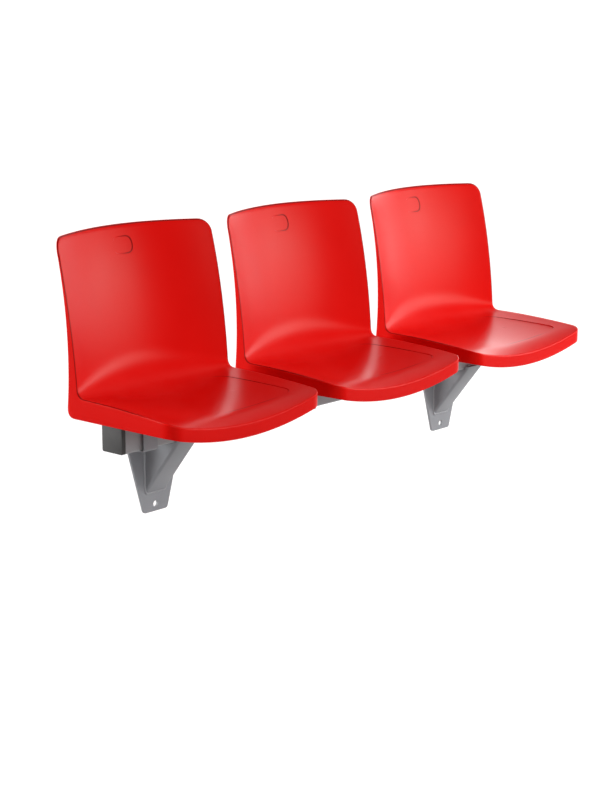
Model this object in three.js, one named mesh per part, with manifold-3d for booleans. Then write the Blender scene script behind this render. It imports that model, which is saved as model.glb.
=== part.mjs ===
// A row of three fixed one-piece stadium seats on a square steel beam with two riser brackets.
// Millimetres. +X runs along the row, +Y to the back and +Z up, and the sitter faces -Y.
// The origin is the middle of the left bracket's rear face, which bears on the riser.

import * as THREE from "three";
import { mergeVertices } from "three/addons/utils/BufferGeometryUtils.js";
import Module from "manifold-3d";

const wasm = await Module();
wasm.setup();

// The row
const seatCount = 3;
const seatGap = 52;
const bracketPastSeat = 6.5;
const cutOverrun = 2;
const restGap = 0.3;

// The beam, a square tube
const beamSize = 60;
const beamWall = 3;
const beamCornerRadius = 5;
const beamOverhang = 180;
const beamStandoff = 40;

// The plastic cap in each end of the beam
const capHead = 10;
const capEdgeRadius = 2;
const capPlugLength = 22;
const capPlugWall = 2.5;
const capPlugClearance = 0.4;

// The bracket's back plate
const plateHeight = 172;
const plateThickness = 6;
const plateBottomWidth = 70;
const plateTopWidth = 170;
const plateCornerRadius = 8;
const anchorHoleDiameter = 14;
const lowerAnchorRise = 16;
const upperAnchorDrop = 18;
const upperAnchorSpacing = 114;

// The bracket's arm, a folded channel that cradles the beam
const armWidth = 62;
const armRootDrop = 129;
const armPastBeam = 8;
const armLipRise = 8;
const armSheet = 6;
const armFoldRadius = 7;

// The seat shell. The datum is the corner where the side edge of the back would meet the
// side edge of the seat if the bend between them were sharp.
const datumAboveBeam = 51;
const datumBehindBeam = 33;
const shellWidth = 448;
const shellTopWidth = 445;
const backHeight = 322;
const backLean = 54;
const backBow = 8.5;
const backHollowAtTop = 53;
const backHollowAtSeat = 45;
const topArch = 4;
const seatDepth = 273;
const seatFall = 16;
const panDish = 20;
const lipDrop = 11;
const lipLength = 42;
const sideBend = 20;
const middleBend = 85;
const shellWall = 3.5;
const rimRadius = 3.5;
const topCornerRadius = 25;
const frontCornerRadius = 27;

// The skirt that the shell's edge turns back into
const skirtWall = 3.5;
const skirtDepthAtTop = 4.8;
const skirtDepthAtSeat = 33;
const skirtBow = 18;
const skirtDropAtRear = 45;
const skirtDropAtFront = 29;
const skirtRearBend = 20;

// The shallow recess in the seat pan, which narrows and fades out towards the back
const panRecessWidth = 376;
const panRecessRearWidth = 336;
const panRecessFromFront = 47;
const panRecessLength = 186;
const panRecessRadius = 24;
const panRecessDepth = 1.6;
const panRecessRearDepth = -0.4;

// The bare number recess in the back
const numberWidth = 55;
const numberHeight = 33;
const numberRadius = 15;
const numberFromTop = 24;
const numberDepth = 1.2;

// Ribs, saddles and bosses under the shell
const ribWall = 3.2;
const saddleSpread = 44;
const saddleFrontTaper = 46;
const spineDepth = 16;
const spineFromFront = 30;
const crossRibFromFront = 92;
const bossDiameter = 18;
const bossHoleDepth = 14;
const boltHoleClearance = 0.35;

// The U-shaped clamps that hold each shell down on the beam
const clampSpread = 232;
const clampWidth = 40;
const clampSheet = 3;
const clampLegGap = 4;
const clampEar = 28;
const clampFoldRadius = 6;

// The bolts and washers of the clamps
const boltDiameter = 8;
const boltHeadAcross = 13;
const boltHeadHeight = 5.3;
const boltGrip = 18;
const washerDiameter = 16;
const washerThickness = 1.6;

// How finely round forms are divided
const arcSteps = 2;
const roundSides = 12;
const boltHeadSides = 6;
const cornerCells = 2;
const middleColumns = 8;
const backRows = 3;
const seatRows = 4;
const ribSteps = 4;
const bendRowShares = [-1, -0.58, -0.34, -0.235, -0.09, 0.09, 0.235, 0.34, 0.58, 1];
const recessCornerCells = 2;

// Places that follow from the sizes above
const seatSpacing = shellWidth + seatGap;
const bracketSpacing = (seatCount - 1) * seatSpacing + 2 * bracketPastSeat;
const shellLength = backHeight + seatDepth;
const rowMiddle = bracketSpacing / 2;
const plateTop = plateHeight / 2;
const beamBottom = plateTop;
const beamTop = beamBottom + beamSize;
const beamRear = -beamStandoff;
const beamFront = beamRear - beamSize;
const datumHeight = beamTop + datumAboveBeam;
const datumBack = beamRear + datumBehindBeam;
const saddleBottom = -datumAboveBeam + restGap;
const clampRearFace = beamRear + clampLegGap + clampSheet;
const clampFrontFace = beamFront - clampLegGap - clampSheet;
const rearBoltBack = clampRearFace + clampEar / 2;
const frontBoltBack = clampFrontFace - clampEar / 2;
const boltHoleDiameter = boltDiameter + 2 * boltHoleClearance;

const seatRed = new THREE.MeshStandardMaterial({ color: 0xd7170f, roughness: 0.38, metalness: 0 });
const beamGrey = new THREE.MeshStandardMaterial({ color: 0x9b9da1, roughness: 0.5, metalness: 0.1 });
const capBlack = new THREE.MeshStandardMaterial({ color: 0x4a4947, roughness: 0.55, metalness: 0 });
const boltZinc = new THREE.MeshStandardMaterial({ color: 0xb6b9bd, roughness: 0.35, metalness: 0.9 });

// Solids from closed geometries, and back
function solidOf(geometry) {
  const bare = geometry.clone();
  bare.deleteAttribute("normal");
  bare.deleteAttribute("uv");
  const merged = mergeVertices(bare);
  const vertProperties = new Float32Array(merged.attributes.position.array);
  const triVerts = new Uint32Array(merged.index.array);
  return new wasm.Manifold(new wasm.Mesh({ numProp: 3, vertProperties, triVerts }));
}

function geometryOf(solid) {
  const mesh = solid.getMesh();
  const geometry = new THREE.BufferGeometry();
  geometry.setAttribute("position", new THREE.BufferAttribute(new Float32Array(mesh.vertProperties), 3));
  geometry.setIndex(new THREE.BufferAttribute(new Uint32Array(mesh.triVerts), 1));
  return geometry;
}

// Outlines drawn in one plane and extruded along the third axis
function extrude(shape, length) {
  return new THREE.ExtrudeGeometry(shape, { depth: length, bevelEnabled: false, curveSegments: arcSteps });
}

// Turns an extrusion so that its outline lies in Y and Z and its length along X
function turnedAcross(geometry) {
  const turn = new THREE.Matrix4().makeBasis(
    new THREE.Vector3(0, 1, 0),
    new THREE.Vector3(0, 0, 1),
    new THREE.Vector3(1, 0, 0),
  );
  return geometry.applyMatrix4(turn);
}

// Outline in Y and Z, extruded along X between two places
function extrudeAcross(shape, from, to) {
  return turnedAcross(extrude(shape, to - from)).translate(from, 0, 0);
}

// Outline in X and Z, extruded forward from a plane
function extrudeForward(shape, rear, thickness) {
  const turn = new THREE.Matrix4().makeBasis(
    new THREE.Vector3(1, 0, 0),
    new THREE.Vector3(0, 0, 1),
    new THREE.Vector3(0, -1, 0),
  );
  return extrude(shape, thickness).applyMatrix4(turn).translate(0, rear, 0);
}

function polygon(points) {
  return new THREE.Shape(points);
}

function roundedRectangle(width, height, radius, target = new THREE.Shape()) {
  const side = width / 2;
  const end = height / 2;
  target.moveTo(-side + radius, -end);
  target.lineTo(side - radius, -end);
  target.absarc(side - radius, -end + radius, radius, -Math.PI / 2, 0, false);
  target.lineTo(side, end - radius);
  target.absarc(side - radius, end - radius, radius, 0, Math.PI / 2, false);
  target.lineTo(-side + radius, end);
  target.absarc(-side + radius, end - radius, radius, Math.PI / 2, Math.PI, false);
  target.lineTo(-side, -end + radius);
  target.absarc(-side + radius, -end + radius, radius, Math.PI, 1.5 * Math.PI, false);
  return target;
}

// An outline whose corners are rounded with arcs of one radius
function roundedPolygon(points, radius) {
  const shape = new THREE.Shape();
  points.forEach((corner, index) => {
    const before = points[(index + points.length - 1) % points.length];
    const after = points[(index + 1) % points.length];
    const toBefore = before.clone().sub(corner).normalize();
    const toAfter = after.clone().sub(corner).normalize();
    const half = Math.acos(toBefore.dot(toAfter)) / 2;
    const trim = radius / Math.tan(half);
    const start = corner.clone().addScaledVector(toBefore, trim);
    const end = corner.clone().addScaledVector(toAfter, trim);
    const inWay = toBefore.clone().add(toAfter).normalize();
    const middle = corner.clone().addScaledVector(inWay, radius / Math.sin(half));
    const from = Math.atan2(start.y - middle.y, start.x - middle.x);
    const to = Math.atan2(end.y - middle.y, end.x - middle.x);
    if (index === 0) {
      shape.moveTo(start.x, start.y);
    } else {
      shape.lineTo(start.x, start.y);
    }
    shape.absarc(middle.x, middle.y, radius, from, to, false);
  });
  shape.closePath();
  return shape;
}

function uprightCylinder(diameter, bottom, top, sides = roundSides) {
  const radius = diameter / 2;
  return new THREE.CylinderGeometry(radius, radius, top - bottom, sides)
    .rotateX(Math.PI / 2)
    .translate(0, 0, (top + bottom) / 2);
}

// The form of the seat shell. across runs from -1 at the left edge to 1 at the right edge, and
// along is the way from the top edge down the back and forward over the seat.
function middleShare(across) {
  return 1 - across * across;
}

function halfWidthAt(along) {
  const rise = Math.max(0, 1 - along / backHeight);
  return THREE.MathUtils.lerp(shellWidth, shellTopWidth, rise) / 2;
}

function backLine(across, height) {
  const rise = height / backHeight;
  const middle = middleShare(across);
  const lean = backLean * rise - backBow * 4 * rise * (1 - rise);
  const hollow = THREE.MathUtils.lerp(backHollowAtSeat, backHollowAtTop, rise);
  const lift = THREE.MathUtils.lerp(-panDish, topArch, rise);
  return new THREE.Vector2(lean + middle * hollow, height + middle * lift);
}

function seatLine(across, depth) {
  const run = depth / seatDepth;
  const middle = middleShare(across);
  const lip = Math.max(0, 1 - (seatDepth - depth) / lipLength);
  const dip = panDish + lipDrop * lip * lip;
  const hollow = backHollowAtSeat * (1 - run);
  return new THREE.Vector2(middle * hollow - depth, -seatFall * run * run - middle * dip);
}

// Two lines that meet at a corner, joined by a smooth bend that starts the same way before and
// after the corner
function bentLine(past, bend, before, after) {
  if (past <= -bend) {
    return before(-past);
  }
  if (past >= bend) {
    return after(past);
  }
  const way = (past + bend) / (2 * bend);
  const start = before(bend).multiplyScalar((1 - way) * (1 - way));
  const corner = after(0).multiplyScalar(2 * way * (1 - way));
  const end = after(bend).multiplyScalar(way * way);
  return start.add(corner).add(end);
}

function profilePoint(across, along) {
  const bend = THREE.MathUtils.lerp(sideBend, middleBend, middleShare(across));
  return bentLine(
    along - backHeight,
    bend,
    (height) => backLine(across, height),
    (depth) => seatLine(across, depth),
  );
}

// A point on the shell, behind or under its visible face by a given depth
function shellPoint(x, along, behind = 0) {
  const across = x / halfWidthAt(along);
  const here = profilePoint(across, along);
  const step = shellWall / 2;
  const way = profilePoint(across, along + step).sub(profilePoint(across, along - step)).normalize();
  return new THREE.Vector3(x, here.x - behind * way.y, here.y + behind * way.x);
}

// The skirt's free edge, seen from the shell's edge: how far back and how far down it lies
function skirtReach(along) {
  const rim = (height) => backLine(1, height);
  const edge = (height) => {
    const rise = height / backHeight;
    const rear = THREE.MathUtils.lerp(skirtDepthAtSeat, backLean + skirtDepthAtTop, rise);
    return new THREE.Vector2(
      rear - skirtBow * 4 * rise * (1 - rise),
      THREE.MathUtils.lerp(-skirtDropAtRear, backHeight, rise),
    );
  };
  const underEdge = (depth) => {
    const run = depth / seatDepth;
    const drop = THREE.MathUtils.lerp(skirtDropAtRear, skirtDropAtFront, run * run);
    const back = THREE.MathUtils.lerp(skirtDepthAtSeat, -seatDepth, run);
    return new THREE.Vector2(back, seatLine(1, depth).y - drop);
  };
  const past = along - backHeight;
  const far = bentLine(past, skirtRearBend, edge, underEdge);
  return far.sub(bentLine(past, sideBend, rim, (depth) => seatLine(1, depth)));
}

// Lines of a grid over the shell, with the corner zones divided apart from the middle
function gridLines(low, high, lowCorner, highCorner, inset, cells, between) {
  const lines = [];
  for (let cell = 0; cell <= cells; cell += 1) {
    lines.push(low + inset + (lowCorner - inset) * (cell / cells));
  }
  lines.push(...between);
  for (let cell = cells; cell >= 0; cell -= 1) {
    lines.push(high - inset - (highCorner - inset) * (cell / cells));
  }
  return lines;
}

function evenLines(low, high, count) {
  const lines = [];
  for (let step = 1; step < count; step += 1) {
    lines.push(THREE.MathUtils.lerp(low, high, step / count));
  }
  return lines;
}

const shellSide = shellWidth / 2;
const cornerSide = shellSide - frontCornerRadius;
const columnsBetween = evenLines(-cornerSide, cornerSide, middleColumns);
const bendRows = bendRowShares.map((share) => backHeight + share * middleBend);
const rowsBetween = [
  ...evenLines(topCornerRadius, backHeight - middleBend, backRows),
  ...bendRows,
  ...evenLines(backHeight + middleBend, shellLength - frontCornerRadius, seatRows),
];

// Draws a grid point near a square corner in to a round one
function roundedPlace(x, along, box) {
  const nearLow = along < (box.low + box.high) / 2;
  const radius = nearLow ? box.lowRadius : box.highRadius;
  const sideways = Math.abs(x) - (box.side - radius);
  const lengthways = nearLow ? box.low + radius - along : along - (box.high - radius);
  if (sideways <= 0 || lengthways <= 0) {
    return new THREE.Vector2(x, along);
  }
  const shrink = Math.max(sideways, lengthways) / Math.hypot(sideways, lengthways);
  const newX = Math.sign(x) * (box.side - radius + sideways * shrink);
  const reach = radius - lengthways * shrink;
  return new THREE.Vector2(newX, nearLow ? box.low + reach : box.high - reach);
}

function gridPlaces(box, columns, rows) {
  return rows.map((along) => columns.map((x) => roundedPlace(x, along, box)));
}

// The places on the edge of a grid, once round, clockwise as the sitter's side is seen
function edgeOf(grid) {
  const last = grid.length - 1;
  const right = grid[0].length - 1;
  return [
    ...grid[0],
    ...grid.slice(1).map((row) => row[right]),
    ...grid[last].slice(0, right).reverse(),
    ...grid.slice(1, last).map((row) => row[0]).reverse(),
  ];
}

// A closed skin: a front grid of points, rings round its edge, and a back grid of points
function closedSkin(front, rings, back) {
  const points = [];
  const faces = [];
  const keep = (point) => points.push(point) - 1;
  const frontNumbers = front.map((row) => row.map(keep));
  const ringNumbers = rings.map((ring) => ring.map(keep));
  const backNumbers = back.map((row) => row.map(keep));
  const quad = (a, b, c, d) => faces.push(a, b, c, a, c, d);
  for (let row = 0; row + 1 < front.length; row += 1) {
    for (let column = 0; column + 1 < front[row].length; column += 1) {
      const f = frontNumbers;
      const b = backNumbers;
      quad(f[row][column], f[row + 1][column], f[row + 1][column + 1], f[row][column + 1]);
      quad(b[row][column + 1], b[row + 1][column + 1], b[row + 1][column], b[row][column]);
    }
  }
  const loops = [edgeOf(frontNumbers), ...ringNumbers, edgeOf(backNumbers)];
  for (let loop = 0; loop + 1 < loops.length; loop += 1) {
    const near = loops[loop];
    const far = loops[loop + 1];
    near.forEach((start, index) => {
      const next = (index + 1) % near.length;
      quad(start, near[next], far[next], far[index]);
    });
  }
  const geometry = new THREE.BufferGeometry();
  const flat = points.flatMap((point) => point.toArray());
  geometry.setAttribute("position", new THREE.BufferAttribute(new Float32Array(flat), 3));
  geometry.setIndex(faces);
  return geometry;
}

// The moulded sheet: face, rounded rim, skirt and the face behind
function shellSheet() {
  const placesAt = (inset) => {
    const box = {
      side: shellSide,
      low: 0,
      high: shellLength,
      lowRadius: topCornerRadius,
      highRadius: frontCornerRadius,
    };
    const sideLines = [-shellSide, shellSide, frontCornerRadius, frontCornerRadius];
    const lengthLines = [0, shellLength, topCornerRadius, frontCornerRadius];
    const columns = gridLines(...sideLines, inset, cornerCells, columnsBetween);
    const rows = gridLines(...lengthLines, inset, cornerCells, rowsBetween);
    return gridPlaces(box, columns, rows);
  };
  const pointsOf = (grid, behind) => {
    return grid.map((row) => row.map((place) => shellPoint(place.x, place.y, behind)));
  };
  const outline = edgeOf(placesAt(0));
  const insetOutline = edgeOf(placesAt(skirtWall));
  const faceEdge = edgeOf(placesAt(rimRadius));
  const crown = [];
  const shoulder = [];
  const freeEdge = [];
  const freeEdgeInside = [];
  outline.forEach((place, index) => {
    const rim = shellPoint(place.x, place.y);
    const reach = skirtReach(place.y);
    const down = new THREE.Vector3(0, reach.x, reach.y);
    const lowest = rim.clone().add(down);
    const downWay = down.clone().normalize();
    const face = shellPoint(faceEdge[index].x, faceEdge[index].y);
    const inWay = face.clone().sub(rim).normalize();
    const turn = rimRadius * (1 - Math.SQRT1_2);
    crown.push(rim.clone().addScaledVector(inWay, turn).addScaledVector(downWay, turn));
    shoulder.push(rim.clone().addScaledVector(downWay, rimRadius));
    freeEdge.push(lowest);
    const inner = insetOutline[index];
    const inward = new THREE.Vector2(inner.x - place.x, inner.y - place.y);
    const onSeat = place.y > backHeight;
    const inside = new THREE.Vector3(inward.x, onSeat ? -inward.y : 0, onSeat ? 0 : -inward.y);
    freeEdgeInside.push(lowest.clone().add(inside));
  });
  return closedSkin(
    pointsOf(placesAt(rimRadius), 0),
    [crown, shoulder, freeEdge, freeEdgeInside],
    pointsOf(placesAt(skirtWall), shellWall),
  );
}

// A rounded area of the shell's face, cut down to a depth that may change along it. Its low
// end may be narrower than its high end.
function recessTool(width, lowWidth, low, high, radius, depthAt) {
  const side = width / 2;
  const inside = (value, from, to) => value > from + cutOverrun && value < to - cutOverrun;
  const columnLines = columnsBetween.filter((x) => inside(x, -side + radius, side - radius));
  const rowLines = rowsBetween.filter((along) => inside(along, low + radius, high - radius));
  const columns = gridLines(-side, side, radius, radius, 0, recessCornerCells, columnLines);
  const rows = gridLines(low, high, radius, radius, 0, recessCornerCells, rowLines);
  const box = { side, low, high, lowRadius: radius, highRadius: radius };
  const grid = gridPlaces(box, columns, rows);
  for (const place of grid.flat()) {
    place.x *= THREE.MathUtils.mapLinear(place.y, low, high, lowWidth / width, 1);
  }
  const above = grid.map((row) => row.map((place) => shellPoint(place.x, place.y, -cutOverrun)));
  const below = grid.map((row) => row.map((place) => shellPoint(place.x, place.y, depthAt(place.y))));
  return solidOf(closedSkin(above, [], below));
}

function panRecess() {
  const high = shellLength - panRecessFromFront;
  const low = high - panRecessLength;
  const depthAt = (along) => {
    const way = (along - low) / panRecessLength;
    return THREE.MathUtils.lerp(panRecessRearDepth, panRecessDepth, Math.sqrt(Math.max(0, way)));
  };
  return recessTool(panRecessWidth, panRecessRearWidth, low, high, panRecessRadius, depthAt);
}

function numberRecess() {
  const high = numberFromTop + numberHeight;
  return recessTool(numberWidth, numberWidth, numberFromTop, high, numberRadius, () => numberDepth);
}

// Height of the middle of the pan's wall, for ribs that run across
function panHeight(x, back) {
  const across = x / shellSide;
  const hollow = middleShare(across) * backHollowAtSeat;
  const depth = (hollow - back) / (1 + hollow / seatDepth);
  return profilePoint(across, backHeight + depth).y - shellWall / 2;
}

// A rib that runs from back to front. Its top follows the middle of the wall, and its foot is
// given as points from the front to the back.
function ribAlong(x, from, to, foot) {
  const top = evenLines(from, to, ribSteps).map((along) => {
    const point = shellPoint(x, along, shellWall / 2);
    return new THREE.Vector2(point.y, point.z);
  });
  return solidOf(extrudeAcross(polygon([...top, ...foot]), x - ribWall / 2, x + ribWall / 2));
}

// A rib that runs across the pan between two sides, down to a flat foot
function ribAcross(back, left, right, foot) {
  const places = [left, ...evenLines(left, right, ribSteps), right];
  const top = places.map((x) => new THREE.Vector2(x, panHeight(x, back)));
  const shape = polygon([new THREE.Vector2(left, foot), new THREE.Vector2(right, foot), ...top.reverse()]);
  return solidOf(extrudeForward(shape, back + ribWall / 2, ribWall));
}

// One saddle, which bears on the beam and holds the two bosses of one clamp
function saddle(x) {
  const frontBolt = frontBoltBack - datumBack;
  const rearBolt = rearBoltBack - datumBack;
  const front = frontBolt - clampEar / 2;
  const rear = rearBolt + clampEar / 2;
  const across = x / shellSide;
  const frontAlong = backHeight + saddleFrontTaper - front;
  const rearAlong = backHeight + middleShare(across) * backHollowAtSeat - rear;
  let solid = null;
  for (const side of [-1, 1]) {
    const ribX = x + (side * saddleSpread) / 2;
    const foot = [new THREE.Vector2(front, saddleBottom), new THREE.Vector2(rear, saddleBottom)];
    const rib = ribAlong(ribX, rearAlong - saddleSpread / 2, frontAlong, foot);
    solid = solid ? solid.add(rib) : rib;
  }
  const halfSpread = saddleSpread / 2;
  for (const back of [front + ribWall / 2, (front + rear) / 2, rear - ribWall / 2]) {
    solid = solid.add(ribAcross(back, x - halfSpread, x + halfSpread, saddleBottom));
  }
  for (const back of [frontBolt, rearBolt]) {
    const boss = uprightCylinder(bossDiameter, saddleBottom, panHeight(x, back)).translate(x, back, 0);
    solid = solid.add(solidOf(boss));
  }
  return solid;
}

function bossHoles(x) {
  const top = saddleBottom + bossHoleDepth;
  const [front, rear] = [frontBoltBack, rearBoltBack].map((back) => {
    const hole = uprightCylinder(boltHoleDiameter, saddleBottom - cutOverrun, top);
    return solidOf(hole.translate(x, back - datumBack, 0));
  });
  return front.add(rear);
}

// The rib down the middle of the pan, and the rib across it near the front
function panStiffeners() {
  const frontAlong = shellLength - spineFromFront;
  const frontFoot = spineFromFront - seatDepth;
  const spineFoot = -panDish - seatFall - spineDepth;
  const foot = [new THREE.Vector2(frontFoot, spineFoot), new THREE.Vector2(0, -panDish - spineDepth)];
  const spine = ribAlong(0, backHeight, frontAlong, foot);
  const inside = shellSide - skirtWall / 2;
  const crossBack = crossRibFromFront - seatDepth;
  const crossFoot = seatLine(0, seatDepth - crossRibFromFront).y - spineDepth;
  return spine.add(ribAcross(crossBack, -inside, inside, crossFoot));
}

function seatShell() {
  let solid = solidOf(shellSheet());
  solid = solid.add(panStiffeners());
  for (const side of [-1, 1]) {
    const x = (side * clampSpread) / 2;
    solid = solid.add(saddle(x)).subtract(bossHoles(x));
  }
  return geometryOf(solid.subtract(panRecess()).subtract(numberRecess()));
}

// Beam and caps
const beamLength = (seatCount - 1) * seatSpacing + 2 * beamOverhang;

function beamTube() {
  const shape = roundedRectangle(beamSize, beamSize, beamCornerRadius);
  const inner = beamSize - 2 * beamWall;
  shape.holes.push(roundedRectangle(inner, inner, beamCornerRadius - beamWall, new THREE.Path()));
  return extrudeAcross(shape, -beamLength / 2, beamLength / 2);
}

// The cap's head lies outside the tube and its hollow plug inside, both on the cap's own X
function beamCap() {
  const headShape = roundedRectangle(
    beamSize - 2 * capEdgeRadius,
    beamSize - 2 * capEdgeRadius,
    beamCornerRadius - capEdgeRadius,
  );
  const head = new THREE.ExtrudeGeometry(headShape, {
    depth: capHead - capEdgeRadius,
    bevelEnabled: true,
    bevelThickness: capEdgeRadius,
    bevelSize: capEdgeRadius,
    bevelSegments: arcSteps,
    curveSegments: arcSteps,
  });
  const beamOutline = roundedRectangle(beamSize + cutOverrun, beamSize + cutOverrun, beamCornerRadius);
  const rearCut = solidOf(extrudeAcross(beamOutline, -capHead, restGap));
  const trimmed = solidOf(turnedAcross(head)).subtract(rearCut);
  const plugSize = beamSize - 2 * beamWall - 2 * capPlugClearance;
  const plugShape = roundedRectangle(plugSize, plugSize, beamCornerRadius - beamWall);
  const hollowSize = plugSize - 2 * capPlugWall;
  const hollowRadius = (beamCornerRadius - beamWall) / 2;
  plugShape.holes.push(roundedRectangle(hollowSize, hollowSize, hollowRadius, new THREE.Path()));
  const plug = solidOf(extrudeAcross(plugShape, -capPlugLength, capHead / 2));
  return geometryOf(trimmed.add(plug));
}

// Bracket
function bracketPlate() {
  const bottom = plateBottomWidth / 2;
  const top = plateTopWidth / 2;
  const shape = roundedPolygon(
    [
      new THREE.Vector2(-bottom, -plateTop),
      new THREE.Vector2(bottom, -plateTop),
      new THREE.Vector2(top, plateTop),
      new THREE.Vector2(-top, plateTop),
    ],
    plateCornerRadius,
  );
  const holes = [
    new THREE.Vector2(0, -plateTop + lowerAnchorRise),
    new THREE.Vector2(-upperAnchorSpacing / 2, plateTop - upperAnchorDrop),
    new THREE.Vector2(upperAnchorSpacing / 2, plateTop - upperAnchorDrop),
  ];
  for (const hole of holes) {
    const path = new THREE.Path();
    for (let quarter = 0; quarter < 4; quarter += 1) {
      const start = (-quarter * Math.PI) / 2;
      path.absarc(hole.x, hole.y, anchorHoleDiameter / 2, start, start - Math.PI / 2, true);
    }
    shape.holes.push(path);
  }
  return extrudeForward(shape, 0, plateThickness);
}

// A wedge that ends flat under the beam and rises as a lip before it. Its two lower edges are
// rounded, and it is set in from the arm's outside.
function armWedge(inset, rear, top) {
  const root = new THREE.Vector2(-plateThickness, plateTop - armRootDrop);
  const tip = new THREE.Vector2(beamFront - armPastBeam, plateTop);
  const way = tip.clone().sub(root).normalize();
  const inward = new THREE.Vector2(way.y, -way.x);
  const side = armWidth / 2 - inset;
  const radius = armFoldRadius - inset;
  const section = new THREE.Shape();
  section.moveTo(-side, armRootDrop);
  section.lineTo(-side, inset + radius);
  section.absarc(-side + radius, inset + radius, radius, Math.PI, 1.5 * Math.PI, false);
  section.lineTo(side - radius, inset);
  section.absarc(side - radius, inset + radius, radius, 1.5 * Math.PI, 2 * Math.PI, false);
  section.lineTo(side, armRootDrop);
  section.closePath();
  const turn = new THREE.Matrix4().makeBasis(
    new THREE.Vector3(1, 0, 0),
    new THREE.Vector3(0, inward.x, inward.y),
    new THREE.Vector3(0, way.x, way.y),
  );
  const start = root.clone().addScaledVector(way, -armWidth);
  const length = root.distanceTo(tip) + 2 * armWidth;
  const prism = extrude(section, length).applyMatrix4(turn).translate(0, start.x, start.y);
  const seat = beamFront - restGap;
  const far = beamFront - plateHeight;
  const window = polygon([
    new THREE.Vector2(far, top + armLipRise),
    new THREE.Vector2(far, -plateHeight),
    new THREE.Vector2(rear, -plateHeight),
    new THREE.Vector2(rear, top),
    new THREE.Vector2(seat, top),
    new THREE.Vector2(seat, top + armLipRise),
  ]);
  return solidOf(prism).intersect(solidOf(extrudeAcross(window, -armWidth, armWidth)));
}

function bracketArm() {
  const outside = armWedge(0, -plateThickness, plateTop);
  const inside = armWedge(armSheet, cutOverrun - plateThickness, plateTop + cutOverrun);
  return geometryOf(outside.subtract(inside));
}

// Clamps and their fasteners, each about its own middle plane on X
function clampOutline(front, rear, top, bottom, radius) {
  const shape = new THREE.Shape();
  shape.moveTo(front, top);
  shape.lineTo(front, bottom + radius);
  shape.absarc(front + radius, bottom + radius, radius, Math.PI, 1.5 * Math.PI, false);
  shape.lineTo(rear - radius, bottom);
  shape.absarc(rear - radius, bottom + radius, radius, 1.5 * Math.PI, 2 * Math.PI, false);
  shape.lineTo(rear, top);
  shape.closePath();
  return shape;
}

function seatClamp() {
  const bottom = beamBottom - restGap - clampSheet;
  const side = clampWidth / 2;
  const trough = clampOutline(clampFrontFace, clampRearFace, beamTop, bottom, clampFoldRadius);
  const hollow = clampOutline(
    clampFrontFace + clampSheet,
    clampRearFace - clampSheet,
    beamTop + cutOverrun,
    bottom + clampSheet,
    clampFoldRadius - clampSheet,
  );
  const earShape = polygon([
    new THREE.Vector2(clampFrontFace - clampEar, beamTop - clampSheet),
    new THREE.Vector2(clampRearFace + clampEar, beamTop - clampSheet),
    new THREE.Vector2(clampRearFace + clampEar, beamTop),
    new THREE.Vector2(clampFrontFace - clampEar, beamTop),
  ]);
  let solid = solidOf(extrudeAcross(trough, -side, side)).add(solidOf(extrudeAcross(earShape, -side, side)));
  solid = solid.subtract(solidOf(extrudeAcross(hollow, -side - cutOverrun, side + cutOverrun)));
  for (const back of [frontBoltBack, rearBoltBack]) {
    const hole = uprightCylinder(boltHoleDiameter, beamTop - clampSheet - cutOverrun, beamTop + cutOverrun);
    solid = solid.subtract(solidOf(hole.translate(0, back, 0)));
  }
  return geometryOf(solid);
}

const washerTop = beamTop - clampSheet - restGap;
const headTop = washerTop - washerThickness - restGap;

function clampWasher() {
  const inner = boltHoleDiameter / 2;
  const outer = washerDiameter / 2;
  const bottom = washerTop - washerThickness;
  const profile = [
    new THREE.Vector2(inner, bottom),
    new THREE.Vector2(outer, bottom),
    new THREE.Vector2(outer, washerTop),
    new THREE.Vector2(inner, washerTop),
    new THREE.Vector2(inner, bottom),
  ];
  return new THREE.LatheGeometry(profile, roundSides).rotateX(Math.PI / 2);
}

function clampBolt() {
  const cornerDiameter = boltHeadAcross / Math.cos(Math.PI / boltHeadSides);
  const head = uprightCylinder(cornerDiameter, headTop - boltHeadHeight, headTop, boltHeadSides);
  const shank = uprightCylinder(boltDiameter, headTop - boltHeadHeight / 2, headTop + boltGrip, roundSides);
  return geometryOf(solidOf(head).add(solidOf(shank)));
}

// The row is put together from the riser outwards
const row = new THREE.Group();

function place(name, geometry, material, x, y = 0, z = 0) {
  const mesh = new THREE.Mesh(geometry, material);
  mesh.name = name;
  mesh.position.set(x, y, z);
  row.add(mesh);
  return mesh;
}

const sides = [
  { name: "left", way: -1 },
  { name: "right", way: 1 },
];

const plate = bracketPlate();
const arm = bracketArm();
for (const { name, way } of sides) {
  const x = rowMiddle + (way * bracketSpacing) / 2;
  place(`bracket_plate_${name}`, plate, beamGrey, x);
  place(`bracket_arm_${name}`, arm, beamGrey, x);
}

const beamMiddleBack = (beamFront + beamRear) / 2;
const beamMiddleHeight = (beamTop + beamBottom) / 2;
place("beam_tube", beamTube(), beamGrey, rowMiddle, beamMiddleBack, beamMiddleHeight);
const cap = beamCap();
for (const { name, way } of sides) {
  const x = rowMiddle + (way * beamLength) / 2;
  const mesh = place(`beam_cap_${name}`, cap, capBlack, x, beamMiddleBack, beamMiddleHeight);
  mesh.rotation.z = way < 0 ? Math.PI : 0;
}

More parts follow.
